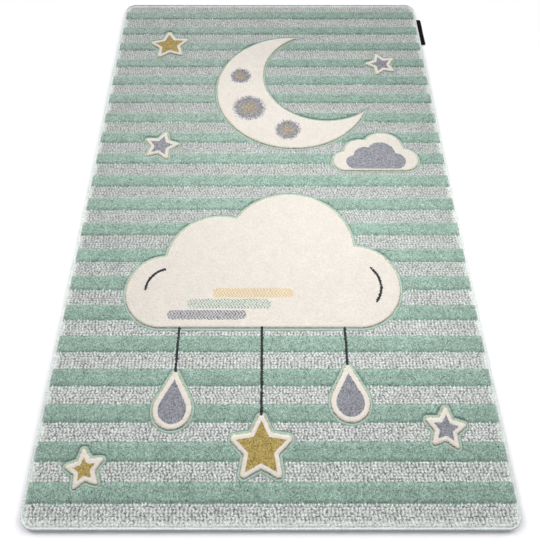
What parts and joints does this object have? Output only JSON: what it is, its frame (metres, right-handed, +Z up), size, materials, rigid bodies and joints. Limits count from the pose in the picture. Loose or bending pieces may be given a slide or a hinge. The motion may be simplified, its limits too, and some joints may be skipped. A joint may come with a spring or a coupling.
{
  "type": "kids rug",
  "caption": "Flat rectangular rug with rounded corners, raised plush stripes, raised sky motifs, a whipped edge and a ribbon tab; lies on a floor.",
  "frame": {"origin": "on the floor under the middle of the rug", "axes": "+Z up out of the pile, +Y along the length towards the end with the ribbon tab, +X to the side with the tab"},
  "size_m": [1.017, 1.6, 0.012],
  "materials": {
    "pile": "matt woven pile: mint plush stripes, grey loop stripes and cream plush motifs",
    "binding_yarn": "pale mint whipped yarn",
    "ribbon": "black woven ribbon, bare"
  },
  "bodies": {
    "root": {"rug_body": "pile", "edge_binding": "binding_yarn", "label_tab": "ribbon"}
  },
  "joints": []
}
